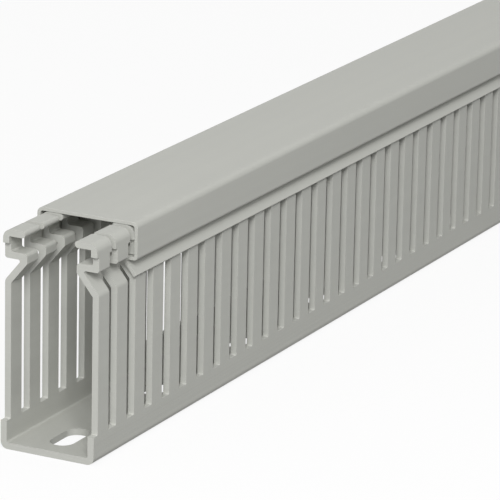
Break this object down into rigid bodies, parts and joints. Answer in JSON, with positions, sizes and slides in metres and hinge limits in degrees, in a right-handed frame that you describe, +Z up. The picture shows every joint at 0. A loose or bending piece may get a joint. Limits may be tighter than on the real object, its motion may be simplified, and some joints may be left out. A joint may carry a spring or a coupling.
{
  "type": "cable trunking",
  "caption": "Slotted plastic cable trunking: a comb-walled channel with oblong fixing holes in its floor and a clip-on cover that slides along the finger heads.",
  "frame": {"origin": "middle of the channel's underside", "axes": "+Z up from the fixing surface, +Y along the length away from the end where the cover is set back, +X across the channel"},
  "size_m": [0.031, 0.5209, 0.0628],
  "materials": {
    "channel": "matte light grey rigid PVC",
    "cover": "matte light grey rigid PVC"
  },
  "bodies": {
    "channel": {"channel": "channel"},
    "cover": {"cover": "cover"}
  },
  "joints": [
    {"name": "cover_slide", "type": "slide", "parent": "channel", "child": "cover", "axis": [0, 1, 0], "range_m": [-0.2709, 0.2291]}
  ]
}
